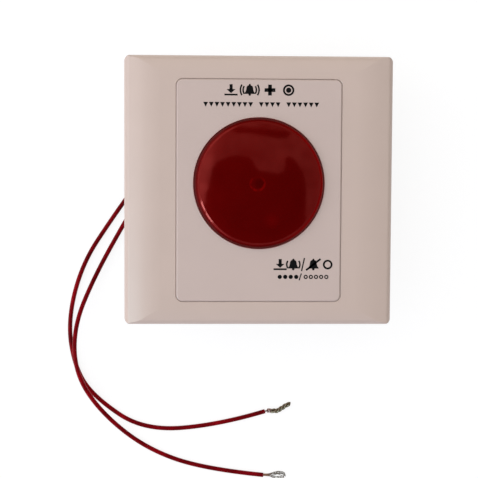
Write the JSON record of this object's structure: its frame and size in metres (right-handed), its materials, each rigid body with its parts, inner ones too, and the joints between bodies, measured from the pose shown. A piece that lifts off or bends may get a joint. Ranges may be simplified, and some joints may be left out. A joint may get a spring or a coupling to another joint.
{
  "type": "emergency call button",
  "caption": "Square wall plate with a crowned frame, an inset panel, a big round domed red push button, a rear housing for the wall box and bare red leads.",
  "frame": {"origin": "centre of the plate, on the flat back of the rear housing, which is what the part lies on", "axes": "+Z out of the front of the plate, +Y up on the wall, +X to the right as seen from the front"},
  "size_m": [0.1065, 0.1444, 0.0293],
  "materials": {
    "plate_plastic": "satin moulded",
    "panel_plastic": "satin moulded",
    "back_plastic": "fine texture",
    "screw_steel": "zinc plated",
    "button_red": "polished",
    "switch_black": "moulded",
    "switch_white": "moulded",
    "pin_brass": "tinned",
    "board_green": "solder mask",
    "capacitor_can": "bright",
    "solder": "dull tin",
    "lead_red": "smooth insulation",
    "bare_strands": "bright tin",
    "led_plastic": "moulded",
    "diode_black": "moulded",
    "resistor_ceramic": "glazed"
  },
  "bodies": {
    "housing": {"trim_frame": "plate_plastic", "module_panel": "panel_plastic", "base_plate": "back_plastic", "rear_cover": "back_plastic", "cover_screws": "screw_steel", "switch_body": "switch_black", "switch_pins": "pin_brass", "reflector_tray": "switch_white", "circuit_board": "board_green", "led_1": "led_plastic", "led_2": "led_plastic", "led_3": "led_plastic", "led_4": "led_plastic", "diode_1": "diode_black", "diode_2": "diode_black", "diode_3": "diode_black", "diode_4": "diode_black", "resistor_1": "resistor_ceramic", "resistor_2": "resistor_ceramic", "capacitor": "capacitor_can", "lead_joints": "solder", "wire_a": "lead_red", "wire_b": "lead_red", "tinned_end_a": "solder", "stripped_end_b": "bare_strands"},
    "button": {"button_cap": "button_red", "switch_plunger": "switch_white"}
  },
  "joints": [
    {"name": "button_press", "type": "slide", "parent": "housing", "child": "button", "axis": [0, 0, -1], "range_m": [0, 0.0025], "stiffness_N_per_m": 1200, "springref_m": -0.001}
  ]
}
